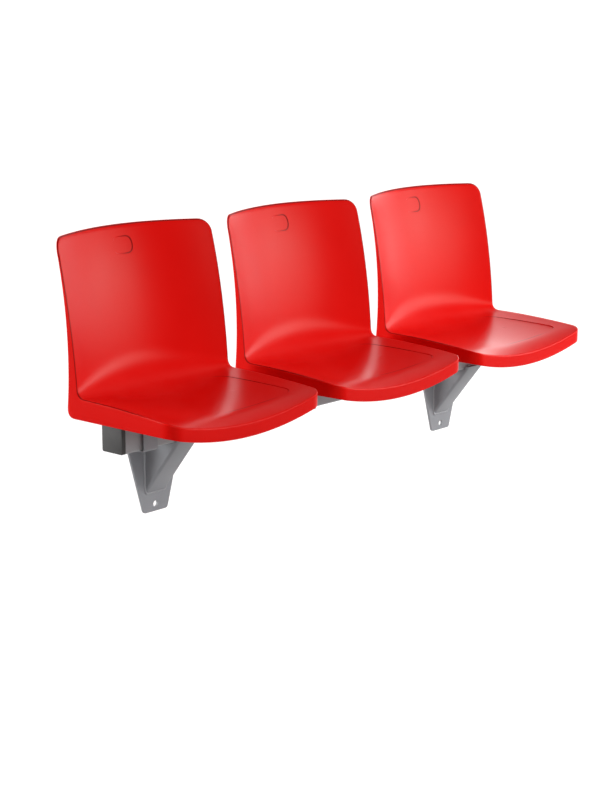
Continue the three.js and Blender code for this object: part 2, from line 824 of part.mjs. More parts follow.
const shell = seatShell();
const clamp = seatClamp();
const bolt = clampBolt();
const washer = clampWasher();
for (let seat = 0; seat < seatCount; seat += 1) {
  const seatX = rowMiddle + (seat - (seatCount - 1) / 2) * seatSpacing;
  place(`seat_shell_${seat + 1}`, shell, seatRed, seatX, datumBack, datumHeight);
  for (const { name, way } of sides) {
    const clampX = seatX + (way * clampSpread) / 2;
    place(`seat_clamp_${seat + 1}_${name}`, clamp, beamGrey, clampX);
    for (const [end, back] of [["front", frontBoltBack], ["rear", rearBoltBack]]) {
      place(`clamp_washer_${seat + 1}_${name}_${end}`, washer, boltZinc, clampX, back);
      place(`clamp_bolt_${seat + 1}_${name}_${end}`, bolt, boltZinc, clampX, back);
    }
  }
}

export default row;
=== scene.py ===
import math

import bmesh
import bpy
from mathutils import Matrix, Vector


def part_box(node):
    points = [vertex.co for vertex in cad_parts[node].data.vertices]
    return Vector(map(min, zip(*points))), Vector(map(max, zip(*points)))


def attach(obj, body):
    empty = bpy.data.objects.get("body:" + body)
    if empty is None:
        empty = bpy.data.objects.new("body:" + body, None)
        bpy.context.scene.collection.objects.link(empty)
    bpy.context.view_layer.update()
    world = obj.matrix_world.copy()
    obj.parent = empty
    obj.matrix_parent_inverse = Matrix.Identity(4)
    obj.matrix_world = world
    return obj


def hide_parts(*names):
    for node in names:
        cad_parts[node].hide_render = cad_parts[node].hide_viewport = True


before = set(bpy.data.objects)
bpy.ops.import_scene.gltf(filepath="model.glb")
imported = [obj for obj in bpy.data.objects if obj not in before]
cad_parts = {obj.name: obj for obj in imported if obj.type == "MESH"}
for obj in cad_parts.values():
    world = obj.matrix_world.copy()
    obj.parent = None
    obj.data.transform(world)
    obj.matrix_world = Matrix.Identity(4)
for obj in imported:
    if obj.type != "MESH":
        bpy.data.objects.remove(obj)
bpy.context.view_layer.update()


# The camera stands to the left of the row and a little above it, with a long lens, where the
# photograph was taken from.
camera_data = bpy.data.cameras.new("photo_camera")
camera = bpy.data.objects.new("photo_camera", camera_data)
bpy.context.scene.collection.objects.link(camera)
bpy.context.scene.camera = camera
camera_place = Vector((-2.7050, -2.7850, 1.0147))
camera_right = Vector((0.660722, -0.750630, 0.000873))
camera_up = Vector((0.166014, 0.147264, 0.975065))
camera_back = Vector((-0.732042, -0.644103, 0.221916))
camera.matrix_world = Matrix((
    (camera_right.x, camera_up.x, camera_back.x, camera_place.x),
    (camera_right.y, camera_up.y, camera_back.y, camera_place.y),
    (camera_right.z, camera_up.z, camera_back.z, camera_place.z),
    (0, 0, 0, 1),
))
camera_data.lens = 82.99
camera_data.shift_x = 0.0120
camera_data.shift_y = 0.0070
camera_data.clip_end = 800


# Wall brackets: a tapered flat plate and a folded channel arm, cut from 6 mm steel, welded
# together and powder coated mid grey. The coat is thin and even, a little pebbled, with fine
# dust on what faces up.
def shader_group(name, takes, gives):
    group = bpy.data.node_groups.new(name, "ShaderNodeTree")
    sockets = group.interface
    for label, value in takes:
        socket = sockets.new_socket(name=label, in_out="INPUT", socket_type="NodeSocketFloat")
        socket.default_value = value
    for label, kind in gives:
        sockets.new_socket(name=label, in_out="OUTPUT", socket_type=kind)
    return group, group.nodes.new("NodeGroupInput"), group.nodes.new("NodeGroupOutput")


# Dust: a soft mask that is strongest on faces that look up, broken into patches
settled_dust, dust_in, dust_out = shader_group(
    "settled_dust",
    [("Patch Scale", 14.0), ("Amount", 0.3)],
    [("Mask", "NodeSocketFloat")],
)
dust_normal = settled_dust.nodes.new("ShaderNodeNewGeometry")
dust_height = settled_dust.nodes.new("ShaderNodeSeparateXYZ")
settled_dust.links.new(dust_normal.outputs["Normal"], dust_height.inputs[0])
dust_facing_up = settled_dust.nodes.new("ShaderNodeMapRange")
dust_facing_up.inputs["From Min"].default_value = 0.35
dust_facing_up.inputs["From Max"].default_value = 1.0
settled_dust.links.new(dust_height.outputs["Z"], dust_facing_up.inputs["Value"])
dust_place = settled_dust.nodes.new("ShaderNodeTexCoord")
dust_patches = settled_dust.nodes.new("ShaderNodeTexNoise")
dust_patches.inputs["Detail"].default_value = 5
dust_patches.inputs["Roughness"].default_value = 0.65
settled_dust.links.new(dust_place.outputs["Object"], dust_patches.inputs["Vector"])
settled_dust.links.new(dust_in.outputs["Patch Scale"], dust_patches.inputs["Scale"])
dust_spread = settled_dust.nodes.new("ShaderNodeMapRange")
dust_spread.inputs["From Min"].default_value = 0.35
dust_spread.inputs["From Max"].default_value = 0.75
settled_dust.links.new(dust_patches.outputs["Fac"], dust_spread.inputs["Value"])
dust_product = settled_dust.nodes.new("ShaderNodeMath")
dust_product.operation = "MULTIPLY"
settled_dust.links.new(dust_facing_up.outputs["Result"], dust_product.inputs[0])
settled_dust.links.new(dust_spread.outputs["Result"], dust_product.inputs[1])
dust_strength = settled_dust.nodes.new("ShaderNodeMath")
dust_strength.operation = "MULTIPLY"
settled_dust.links.new(dust_product.outputs[0], dust_strength.inputs[0])
settled_dust.links.new(dust_in.outputs["Amount"], dust_strength.inputs[1])
settled_dust.links.new(dust_strength.outputs[0], dust_out.inputs["Mask"])

# Grain: the fine pebbling of a coat or a moulded skin over a slower waviness
surface_grain, grain_in, grain_out = shader_group(
    "surface_grain",
    [("Grain Scale", 900.0), ("Wave Scale", 12.0), ("Wave Share", 0.5)],
    [("Height", "NodeSocketFloat"), ("Blotch", "NodeSocketFloat")],
)
grain_place = surface_grain.nodes.new("ShaderNodeTexCoord")
grain_fine = surface_grain.nodes.new("ShaderNodeTexNoise")
grain_fine.inputs["Detail"].default_value = 3
surface_grain.links.new(grain_place.outputs["Object"], grain_fine.inputs["Vector"])
surface_grain.links.new(grain_in.outputs["Grain Scale"], grain_fine.inputs["Scale"])
grain_wave = surface_grain.nodes.new("ShaderNodeTexNoise")
grain_wave.inputs["Detail"].default_value = 4
surface_grain.links.new(grain_place.outputs["Object"], grain_wave.inputs["Vector"])
surface_grain.links.new(grain_in.outputs["Wave Scale"], grain_wave.inputs["Scale"])
grain_mix = surface_grain.nodes.new("ShaderNodeMix")
surface_grain.links.new(grain_in.outputs["Wave Share"], grain_mix.inputs["Factor"])
surface_grain.links.new(grain_fine.outputs["Fac"], grain_mix.inputs["A"])
surface_grain.links.new(grain_wave.outputs["Fac"], grain_mix.inputs["B"])
surface_grain.links.new(grain_mix.outputs["Result"], grain_out.inputs["Height"])
surface_grain.links.new(grain_wave.outputs["Fac"], grain_out.inputs["Blotch"])


def blend_colours(tree, factor, first, second):
    node = tree.nodes.new("ShaderNodeMix")
    node.data_type = "RGBA"
    for socket, value in ((node.inputs["A"], first), (node.inputs["B"], second)):
        if isinstance(value, tuple):
            socket.default_value = (*value, 1)
        else:
            tree.links.new(value, socket)
    tree.links.new(factor, node.inputs["Factor"])
    return node.outputs["Result"]


def stretch(tree, value, low, high, to_low, to_high):
    node = tree.nodes.new("ShaderNodeMapRange")
    node.inputs["From Min"].default_value = low
    node.inputs["From Max"].default_value = high
    node.inputs["To Min"].default_value = to_low
    node.inputs["To Max"].default_value = to_high
    tree.links.new(value, node.inputs["Value"])
    return node.outputs["Result"]


def place_group(tree, group, **values):
    node = tree.nodes.new("ShaderNodeGroup")
    node.node_tree = group
    for label, value in values.items():
        node.inputs[label.replace("_", " ")].default_value = value
    return node


def grained_finish(
    name, shade, light, dust_colour, roughness, grain_scale, wave_scale, dust, depth, gloss=0.5
):
    material = bpy.data.materials.new(name)
    material.use_nodes = True
    tree = material.node_tree
    shader = tree.nodes["Principled BSDF"]
    grain = place_group(
        tree, surface_grain, Grain_Scale=grain_scale, Wave_Scale=wave_scale, Wave_Share=0.35
    )
    dusting = place_group(tree, settled_dust, Patch_Scale=wave_scale * 1.7, Amount=dust)
    blotch = stretch(tree, grain.outputs["Blotch"], 0.3, 0.7, 0, 1)
    colour = blend_colours(tree, blotch, shade, light)
    dusted = blend_colours(tree, dusting.outputs["Mask"], colour, dust_colour)
    tree.links.new(dusted, shader.inputs["Base Color"])
    rough = stretch(tree, grain.outputs["Blotch"], 0.3, 0.7, roughness - 0.04, roughness + 0.04)
    tree.links.new(rough, shader.inputs["Roughness"])
    bump = tree.nodes.new("ShaderNodeBump")
    bump.inputs["Strength"].default_value = 0.35
    bump.inputs["Distance"].default_value = depth
    tree.links.new(grain.outputs["Height"], bump.inputs["Height"])
    tree.links.new(bump.outputs["Normal"], shader.inputs["Normal"])
    shader.inputs["Specular IOR Level"].default_value = gloss
    return material


bracket_coat = grained_finish(
    "bracket_coat",
    shade=(0.225, 0.230, 0.245),
    light=(0.262, 0.268, 0.284),
    dust_colour=(0.42, 0.41, 0.39),
    roughness=0.46,
    grain_scale=700,
    wave_scale=9,
    dust=0.25,
    depth=0.0002,
)

# Joins the split corners of a carried-over solid and shades its round forms smooth
sharp_from = math.radians(32)
smooth_forms = bpy.data.node_groups.new("smooth_forms", "GeometryNodeTree")
for flow in ("INPUT", "OUTPUT"):
    smooth_forms.interface.new_socket(
        name="Geometry", in_out=flow, socket_type="NodeSocketGeometry"
    )
forms_in = smooth_forms.nodes.new("NodeGroupInput")
forms_out = smooth_forms.nodes.new("NodeGroupOutput")
forms_joined = smooth_forms.nodes.new("GeometryNodeMergeByDistance")
forms_joined.inputs["Distance"].default_value = 0.00005
forms_angle = smooth_forms.nodes.new("GeometryNodeInputMeshEdgeAngle")
forms_sharp = smooth_forms.nodes.new("FunctionNodeCompare")
forms_sharp.operation = "GREATER_THAN"
forms_sharp.inputs["B"].default_value = sharp_from
forms_normals = smooth_forms.nodes.new("GeometryNodeSetMeshNormal")
forms_normals.mode = "SHARPNESS"
forms_normals.inputs["Remove Custom"].default_value = True
forms_normals.inputs["Face Sharpness"].default_value = False
smooth_forms.links.new(forms_in.outputs["Geometry"], forms_joined.inputs["Geometry"])
smooth_forms.links.new(forms_joined.outputs["Geometry"], forms_normals.inputs["Mesh"])
smooth_forms.links.new(forms_angle.outputs["Unsigned Angle"], forms_sharp.inputs["A"])
smooth_forms.links.new(forms_sharp.outputs["Result"], forms_normals.inputs["Edge Sharpness"])
smooth_forms.links.new(forms_normals.outputs["Mesh"], forms_out.inputs["Geometry"])


def finish_node(name, material, edge):
    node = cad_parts[name]
    node.data.materials.clear()
    node.data.materials.append(material)
    forms = node.modifiers.new("smooth_forms", "NODES")
    forms.node_group = smooth_forms
    flats = node.modifiers.new("whole_flats", "DECIMATE")
    flats.decimate_type = "DISSOLVE"
    flats.angle_limit = math.radians(0.5)
    edges = node.modifiers.new("broken_edges", "BEVEL")
    edges.width = edge
    edges.segments = 2
    edges.limit_method = "ANGLE"
    edges.angle_limit = sharp_from
    edges.harden_normals = True
    edges.use_clamp_overlap = False


for side_name in ("left", "right"):
    finish_node(f"bracket_plate_{side_name}", bracket_coat, edge=0.0007)
    finish_node(f"bracket_arm_{side_name}", bracket_coat, edge=0.0008)


# Welds: rippled fillet beads under the brackets' coat, coloured lighter than the brackets as a
# painted highlight along them. On each bracket one runs round the arm where it meets the plate,
# two run under the beam along the arm's walls and one lies on the arm's front lip.
weld_highlight_coat = grained_finish(
    "weld_highlight_coat",
    shade=(0.27, 0.275, 0.29),
    light=(0.31, 0.316, 0.332),
    dust_colour=(0.42, 0.41, 0.39),
    roughness=0.36,
    grain_scale=700,
    wave_scale=40,
    dust=0.15,
    depth=0.0002,
)


def join_rings(body, rings):
    for near, far in zip(rings, rings[1:]):
        count = len(near)
        for index in range(count):
            following = (index + 1) % count
            body.faces.new((near[index], near[following], far[following], far[index]))


# A bead's ripples, its slower unevenness and the taper of its ends. No bead runs along the
# slant that its rings are set out from.
ripple_pitch = 0.0024
rings_per_ripple = 4
ripple_share = 0.09
uneven_share = 0.05
uneven_turn = 0.37
tapered_share = 1 / 12
blunt_turn = 0.25
bead_sides = 10
bead_slant = Vector((0.3, 0.5, 0.8))


def bead_swell(step, steps):
    ripple = math.sin(step * 2 * math.pi / rings_per_ripple)
    swell = 1 + ripple_share * ripple + uneven_share * math.sin(step * uneven_turn)
    from_end = min(step, steps - step)
    if from_end < steps * tapered_share:
        swell *= min(1, math.sin(math.pi * from_end / steps / tapered_share / 2 + blunt_turn))
    return swell


def weld_bead(name, path, radius):
    lengths = [(b - a).length for a, b in zip(path, path[1:])]
    total = sum(lengths)
    steps = int(total / ripple_pitch * rings_per_ripple)
    centres = []
    for step in range(steps + 1):
        way = total * step / steps
        index = 0
        while index < len(lengths) - 1 and way > lengths[index]:
            way -= lengths[index]
            index += 1
        centres.append(path[index].lerp(path[index + 1], min(1, way / lengths[index])))
    mesh = bpy.data.meshes.new(name)
    body = bmesh.new()
    rings = []
    for step, centre in enumerate(centres):
        ahead = centres[min(step + 1, steps)] - centres[max(step - 1, 0)]
        across = ahead.cross(bead_slant).normalized()
        other = ahead.cross(across).normalized()
        swell = radius * bead_swell(step, steps)
        ring = []
        for turn in range(bead_sides):
            angle = 2 * math.pi * turn / bead_sides
            outward = across * math.cos(angle) + other * math.sin(angle)
            ring.append(body.verts.new(centre + outward * swell))
        rings.append(ring)
    join_rings(body, rings)
    body.faces.new(rings[0])
    body.faces.new(rings[-1][::-1])
    bmesh.ops.recalc_face_normals(body, faces=body.faces)
    for face in body.faces:
        face.smooth = True
    body.to_mesh(mesh)
    body.free()
    mesh.materials.append(weld_highlight_coat)
    bead = bpy.data.objects.new(name, mesh)
    bpy.context.scene.collection.objects.link(bead)
    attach(bead, "root")


# The arm's fold as the weld round its root follows it, and how far the beads stop short of the
# beam and of the lip's corners
fold = 0.007
fold_rise = 0.0113
fold_steps = 6
beam_stop = 0.004
lip_stop = 0.010
for side_name in ("left", "right"):
    arm_low, arm_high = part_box(f"bracket_arm_{side_name}")
    beam_low, beam_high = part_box("beam_tube")
    left, right = arm_low.x, arm_high.x
    plate_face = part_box(f"bracket_plate_{side_name}")[0].y
    root = [Vector((left, plate_face, beam_low.z - beam_stop))]
    for step in range(fold_steps + 1):
        angle = math.pi / 2 * step / fold_steps
        root.append(Vector((
            left + fold - fold * math.cos(angle),
            plate_face,
            arm_low.z + fold_rise - fold_rise * math.sin(angle),
        )))
    root += [Vector((left + right - place.x, place.y, place.z)) for place in root[::-1]]
    weld_bead(f"plate_weld_{side_name}", root, radius=0.0026)
    for x, end in ((left, "a"), (right, "b")):
        front = Vector((x, beam_low.y + beam_stop, beam_low.z))
        rear = Vector((x, beam_high.y - beam_stop, beam_low.z))
        weld_bead(f"beam_weld_{side_name}_{end}", [front, rear], radius=0.0024)
    lip_left = Vector((left + lip_stop, beam_low.y, arm_high.z))
    lip_right = Vector((right - lip_stop, beam_low.y, arm_high.z))
    weld_bead(f"lip_weld_{side_name}", [lip_left, lip_right], radius=0.0022)


# Beam: a cold-formed 60 mm square tube, sawn to length, with rounded corners and a powder coat
# a little lighter than the brackets'.
beam_coat = grained_finish(
    "beam_coat",
    shade=(0.300, 0.303, 0.312),
    light=(0.345, 0.348, 0.356),
    dust_colour=(0.46, 0.45, 0.43),
    roughness=0.42,
    grain_scale=700,
    wave_scale=5,
    dust=0.3,
    depth=0.0002,
)
finish_node("beam_tube", beam_coat, edge=0.0005)


# End caps: matt dark grey mouldings pressed into the beam's ends, with a softened edge round
# the head.
cap_moulding = grained_finish(
    "cap_moulding",
    shade=(0.022, 0.021, 0.020),
    light=(0.031, 0.030, 0.029),
    dust_colour=(0.20, 0.19, 0.18),
    roughness=0.55,
    grain_scale=1100,
    wave_scale=16,
    dust=0.3,
    depth=0.00015,
    gloss=0.4,
)
for side_name in ("left", "right"):
    finish_node(f"beam_cap_{side_name}", cap_moulding, edge=0.0003)


# Seat clamps: U-shaped straps folded from 3 mm steel, hung round the beam under each shell,
# with ears that take the bolts up into the shell's bosses.
for seat in (1, 2, 3):
    for side_name in ("left", "right"):
        finish_node(f"seat_clamp_{seat}_{side_name}", bracket_coat, edge=0.0004)


# Bolts and washers: M8 hexagon bolts and plain washers, bright zinc plated, with the faint
# yellow and blue of the passivated plating.
zinc_cool = (0.52, 0.54, 0.58)
zinc_warm = (0.63, 0.61, 0.55)
zinc_plate = bpy.data.materials.new("zinc_plate")
zinc_plate.use_nodes = True
zinc_tree = zinc_plate.node_tree
zinc_shader = zinc_tree.nodes["Principled BSDF"]
zinc_shader.inputs["Metallic"].default_value = 1
zinc_grain = place_group(
    zinc_tree, surface_grain, Grain_Scale=1600, Wave_Scale=70, Wave_Share=0.3
)
zinc_blotch = stretch(zinc_tree, zinc_grain.outputs["Blotch"], 0.35, 0.65, 0, 1)
zinc_colour = blend_colours(zinc_tree, zinc_blotch, zinc_cool, zinc_warm)
zinc_tree.links.new(zinc_colour, zinc_shader.inputs["Base Color"])
zinc_rough = stretch(zinc_tree, zinc_grain.outputs["Blotch"], 0.3, 0.7, 0.28, 0.42)
zinc_tree.links.new(zinc_rough, zinc_shader.inputs["Roughness"])
zinc_bump = zinc_tree.nodes.new("ShaderNodeBump")
zinc_bump.inputs["Strength"].default_value = 0.3
zinc_bump.inputs["Distance"].default_value = 0.0001
zinc_tree.links.new(zinc_grain.outputs["Height"], zinc_bump.inputs["Height"])
zinc_tree.links.new(zinc_bump.outputs["Normal"], zinc_shader.inputs["Normal"])
for seat in (1, 2, 3):
    for side_name in ("left", "right"):
        for end in ("front", "rear"):
            finish_node(f"clamp_washer_{seat}_{side_name}_{end}", zinc_plate, edge=0.0002)
            finish_node(f"clamp_bolt_{seat}_{side_name}_{end}", zinc_plate, edge=0.0004)


# Seat shells: one-piece injection mouldings in red polypropylene with a satin skin. The edge
# rolls over into a skirt, deep at the seat and shallow at the top of the back. Two shallow
# recesses are moulded in, one in the pan and a small bare one in the back.
shell_width = 0.448
shell_top_width = 0.445
back_height = 0.322
back_lean = 0.054
back_bow = 0.0085
hollow_at_top = 0.053
hollow_at_seat = 0.045
top_arch = 0.004
seat_depth = 0.273
seat_fall = 0.016
pan_dish = 0.020
lip_drop = 0.011
lip_length = 0.042
side_bend = 0.020
middle_bend = 0.085
shell_wall = 0.0035
rim_radius = 0.0035
top_corner = 0.025
front_corner = 0.027
skirt_wall = 0.0035
skirt_at_top = 0.0048
skirt_at_seat = 0.033
skirt_bow = 0.018
skirt_drop_rear = 0.045
skirt_drop_front = 0.029
skirt_rear_bend = 0.020
shell_length = back_height + seat_depth
shell_side = shell_width / 2


def between(start, end, share):
    return start + (end - start) * share


def half_width(along):
    return between(shell_width, shell_top_width, max(0, 1 - along / back_height)) / 2


def back_line(across, height):
    rise = height / back_height
    middle = 1 - across * across
    lean = back_lean * rise - back_bow * 4 * rise * (1 - rise)
    hollow = between(hollow_at_seat, hollow_at_top, rise)
    return Vector((lean + middle * hollow, height + middle * between(-pan_dish, top_arch, rise)))


def seat_line(across, depth):
    run = depth / seat_depth
    middle = 1 - across * across
    lip = max(0, 1 - (seat_depth - depth) / lip_length)
    dip = pan_dish + lip_drop * lip * lip
    back = middle * hollow_at_seat * (1 - run) - depth
    return Vector((back, -seat_fall * run * run - middle * dip))


def bent_line(past, bend, before, after):
    if past <= -bend:
        return before(-past)
    if past >= bend:
        return after(past)
    way = (past + bend) / (2 * bend)
    return before(bend) * (1 - way) ** 2 + after(0) * 2 * way * (1 - way) + after(bend) * way**2


def profile_point(across, along):
    bend = between(side_bend, middle_bend, 1 - across * across)
    return bent_line(
        along - back_height,
        bend,
        lambda height: back_line(across, height),
        lambda depth: seat_line(across, depth),
    )


def shell_point(x, along, behind=0.0):
    across = x / half_width(along)
    here = profile_point(across, along)
    step = shell_wall / 2
    way = (profile_point(across, along + step) - profile_point(across, along - step)).normalized()
    return Vector((x, here.x - behind * way.y, here.y + behind * way.x))


def skirt_reach(along):
    def free_edge(height):
        rise = height / back_height
        rear = between(skirt_at_seat, back_lean + skirt_at_top, rise)
        bowed = rear - skirt_bow * 4 * rise * (1 - rise)
        return Vector((bowed, between(-skirt_drop_rear, back_height, rise)))

    def under_edge(depth):
        run = depth / seat_depth
        drop = between(skirt_drop_rear, skirt_drop_front, run * run)
        return Vector((between(skirt_at_seat, -seat_depth, run), seat_line(1, depth).y - drop))

    rim = profile_point(1, along)
    return bent_line(along - back_height, skirt_rear_bend, free_edge, under_edge) - rim


# The two recesses: half width, first and last row along the shell, corner radius, and how far
# round its corners the grid is drawn in
pan_recess = {"side": 0.188, "low": 0.362, "high": 0.548, "corner": 0.024, "reach": 0.018}
number_recess = {"side": 0.0275, "low": 0.024, "high": 0.057, "corner": 0.015, "reach": 0.009}
number_depth = 0.0012
pan_depth_rear = -0.0004
pan_depth_front = 0.0016
recess_edge = 0.0010
pan_rear_width_share = 0.894
taper_side = 0.212
taper_from = 0.285


def smooth(value):
    value = min(1, max(0, value))
    return value * value * (3 - 2 * value)


def recess_offset(x, along, recess):
    return max(abs(x) - recess["side"], recess["low"] - along, along - recess["high"])


def recess_depth(x, along):
    depth = number_depth * smooth(0.5 - recess_offset(x, along, number_recess) / recess_edge)
    way = max(0, (along - pan_recess["low"]) / (pan_recess["high"] - pan_recess["low"]))
    pan_depth = max(0, between(pan_depth_rear, pan_depth_front, math.sqrt(min(1, way))))
    return depth + pan_depth * smooth(0.5 - recess_offset(x, along, pan_recess) / recess_edge)


def drawn_round(x, along, side, low, high, low_corner, high_corner, reach):
    near_low = along < (low + high) / 2
    corner = low_corner if near_low else high_corner
    sideways = abs(x) - (side - corner)
    lengthways = low + corner - along if near_low else along - (high - corner)
    if sideways <= 0 or lengthways <= 0:
        return x, along
    most = max(sideways, lengthways)
    share = 1 if most <= corner else 1 - smooth((most - corner) / reach)
    shrink = 1 + (most / math.hypot(sideways, lengthways) - 1) * share
    x = math.copysign(side - corner + sideways * shrink, x)
    lengthways *= shrink
    return x, low + corner - lengthways if near_low else high - corner + lengthways


def shell_place(x, along):
    x, along = drawn_round(
        x, along, shell_side, 0, shell_length, top_corner, front_corner, rim_radius
    )
    for recess in (pan_recess, number_recess):
        x, along = drawn_round(
            x, along, recess["side"], recess["low"], recess["high"],
            recess["corner"], recess["corner"], recess["reach"],
        )
    way = (along - pan_recess["low"]) / (pan_recess["high"] - pan_recess["low"])
    taper = between(pan_rear_width_share, 1, min(1, max(0, way)))
    beside = smooth((taper_side - abs(x)) / (taper_side - pan_recess["side"]))
    above = smooth((along - taper_from) / (pan_recess["low"] - taper_from))
    return x * (1 + (taper - 1) * beside * above), along


# The shells' grid: lines at the corners, the recesses and the ends of the bend, and others
# between them that are at most a cell apart
grid_cell = 0.007
number_row = 0.0395


def lines_between(marks):
    lines = []
    for start, end in zip(marks, marks[1:]):
        count = max(1, math.ceil((end - start) / grid_cell - 0.01))
        lines += [between(start, end, step / count) for step in range(count)]
    return lines + [marks[-1]]


def recess_marks(edge, way):
    steps = (-0.0030, -0.0012, -0.0005, 0, 0.0005, 0.0012, 0.0030)
    return [edge + way * step for step in steps]


half_marks = sorted(
    [0, shell_side - front_corner, shell_side]
    + [number_recess["side"] - number_recess["corner"]]
    + [number_recess["side"] + number_recess["reach"]]
    + [pan_recess["side"] - pan_recess["corner"]]
    + recess_marks(number_recess["side"], 1)
    + recess_marks(pan_recess["side"], 1)
)
row_marks = sorted(
    [0, top_corner, number_row, shell_length - front_corner, shell_length]
    + [back_height - middle_bend, back_height + middle_bend]
    + [pan_recess["low"] + pan_recess["corner"], pan_recess["high"] - pan_recess["corner"]]
    + recess_marks(number_recess["low"], -1)
    + recess_marks(number_recess["high"], 1)
    + recess_marks(pan_recess["low"], -1)
    + recess_marks(pan_recess["high"], 1)
)


def grid_lines(inset):
    half = lines_between([min(mark, shell_side - inset) for mark in half_marks])
    rows = lines_between([min(max(mark, inset), shell_length - inset) for mark in row_marks])
    return [-x for x in half[:0:-1]] + half, rows


def shell_grid(inset, behind):
    columns, rows = grid_lines(inset)
    grid = []
    for along in rows:
        line = []
        for x in columns:
            place_x, place_along = shell_place(x, along)
            depth = behind if behind else recess_depth(x, along)
            line.append(shell_point(place_x, place_along, depth))
        grid.append(line)
    return grid


def edge_of(grid):
    return (
        grid[0]
        + [row[-1] for row in grid[1:]]
        + grid[-1][-2::-1]
        + [row[0] for row in grid[-2:0:-1]]
    )


def shell_edge_places(inset):
    columns, rows = grid_lines(inset)
    return edge_of([[Vector(shell_place(x, along)) for x in columns] for along in rows])


# Painted shade lines: the rim's roll has a shallow groove round the back and the sides, and
# shade is painted dark in it and along the right-hand edges of the recesses. The lines fade in
# and out along their way.
groove_depth = 0.0008
groove_middle = 0.45
groove_half_width = 0.36
groove_flatness = 1.25
groove_end = shell_length - 0.035
groove_fade = 0.10
roll_steps = 10
line_half_width = 0.0016
number_line_from = (-0.014, 0.016)
side_line_from = (0.165, 0.185)
side_line_fade = (0.40, 0.52)
side_line_least = 0.2
front_line_place = pan_recess["high"] + 0.0012
front_line_half_width = 0.0018
front_line_from = (-0.04, 0.01)
front_line_to = (0.15, 0.10)
front_line_most = 0.7


def fade(value, start, end):
    return smooth((value - start) / (end - start))


def groove_at(way, along):
    across = smooth(groove_flatness - abs(way - groove_middle) / groove_half_width)
    return across * fade(along, groove_end, groove_end - groove_fade)


def recess_line(x, along):
    number = smooth(1 - abs(recess_offset(x, along, number_recess)) / line_half_width)
    number *= fade(x, *number_line_from)
    side = smooth(1 - abs(recess_offset(x, along, pan_recess)) / line_half_width)
    side *= fade(x, *side_line_from) * between(1, side_line_least, fade(along, *side_line_fade))
    front = smooth(1 - abs(along - front_line_place) / front_line_half_width)
    front *= front_line_most * fade(x, *front_line_from) * fade(x, *front_line_to)
    return max(number, side, front)


# The skirt's free edge: how far its corners are rounded, and the points between them as a rise
# above the edge and a share of the wall
edge_round = 0.001
edge_points = ((0.0003, 0.08), (0, 0.3), (0, 0.7), (0.0003, 0.92))
outer_steps = 4
inner_steps = 5


def skirt_section(place, inner, face_point, rear_point, grooves):
    rim = shell_point(place.x, place.y)
    reach = skirt_reach(place.y)
    down = Vector((0, reach.x, reach.y))
    down_way = down.normalized()
    lowest = rim + down
    shoulder = rim + down_way * rim_radius
    inward = inner - place
    on_seat = place.y > back_height
    inside = Vector((inward.x, -inward.y if on_seat else 0, 0 if on_seat else -inward.y))
    section = []
    for step, groove in enumerate(grooves, start=1):
        way = step / roll_steps
        roll = face_point * (1 - way) ** 2 + rim * 2 * way * (1 - way) + shoulder * way**2
        sink = (down_way * (1 - way) + inside.normalized() * way).normalized()
        section.append(roll + sink * (groove_depth * groove))
    outer_end = lowest - down_way * edge_round
    inner_end = outer_end + inside
    section += [shoulder.lerp(outer_end, step / outer_steps) for step in range(outer_steps + 1)]
    section += [lowest - down_way * rise + inside * share for rise, share in edge_points]
    section += [inner_end.lerp(rear_point, step / inner_steps) for step in range(inner_steps)]
    return section


def verts_of(body, rows):
    return [[body.verts.new(point) for point in row] for row in rows]


def shell_sheet(body):
    # A per-point layer of painted shade: dark in the rim's groove and along the recesses'
    # right-hand edges.
    painted_shade_line = body.verts.layers.float.new("painted_shade_line")
    face = shell_grid(rim_radius, 0)
    rear = shell_grid(skirt_wall, shell_wall)
    outline = shell_edge_places(0)
    inner_outline = shell_edge_places(skirt_wall)
    groove_and_painted_shade = [
        [groove_at(step / roll_steps, place.y) for step in range(1, roll_steps)]
        for place in outline
    ]
    sections = [
        skirt_section(*around)
        for around in zip(outline, inner_outline, edge_of(face), edge_of(rear), groove_and_painted_shade)
    ]
    face_verts = verts_of(body, face)
    rear_verts = verts_of(body, rear)
    ring_verts = verts_of(body, zip(*sections))
    columns, rows = grid_lines(rim_radius)
    for along, row in zip(rows, face_verts):
        for x, vert in zip(columns, row):
            vert[painted_shade_line] = recess_line(x, along)
    for row, values in zip(ring_verts, zip(*groove_and_painted_shade)):
        for vert, value in zip(row, values):
            vert[painted_shade_line] = value
    for verts, turned in ((face_verts, False), (rear_verts, True)):
        for row, next_row in zip(verts, verts[1:]):
            for column in range(len(row) - 1):
                corners = [row[column], next_row[column], next_row[column + 1], row[column + 1]]
                body.faces.new(corners[::-1] if turned else corners)
    join_rings(body, [edge_of(face_verts), *ring_verts, edge_of(rear_verts)])


# Moulded ribs under the pan: a spine, a cross rib, and a saddle of ribs round each pair of
# bosses, which bears on the beam
rib_wall = 0.0032
spine_foot = [Vector((-0.243, -0.052)), Vector((0, -0.036))]
spine_end = shell_length - 0.030
cross_rib_back = 0.092 - seat_depth
cross_rib_height = 0.016
saddle_bottom = -0.0507
saddle_reach = 0.046
clamp_spread = 0.232
saddle_spread = 0.044
front_bolt = -0.114
rear_bolt = -0.012
ear = 0.028
rib_steps = 20
cross_rib_steps = 24
bolt_hole = 0.00435
bolt_hole_depth = 0.014
boss_foot = 0.0085
boss_radius = 0.0090
boss_top = 0.0095
boss_edge = 0.0006
boss_sides = 28


def rib_from(body, outline, along_x, low, high):
    faces = []
    for place in (low, high):
        if along_x:
            verts = [body.verts.new((point.x, place, point.y)) for point in outline]
        else:
            verts = [body.verts.new((place, point.x, point.y)) for point in outline]
        faces.append(verts)
    body.faces.new(faces[0])
    body.faces.new(faces[1][::-1])
    join_rings(body, faces)


def under_pan(x, back):
    across = x / shell_side
    hollow = (1 - across * across) * hollow_at_seat
    depth = (hollow - back) / (1 + hollow / seat_depth)
    return profile_point(across, back_height + depth).y - shell_wall / 2


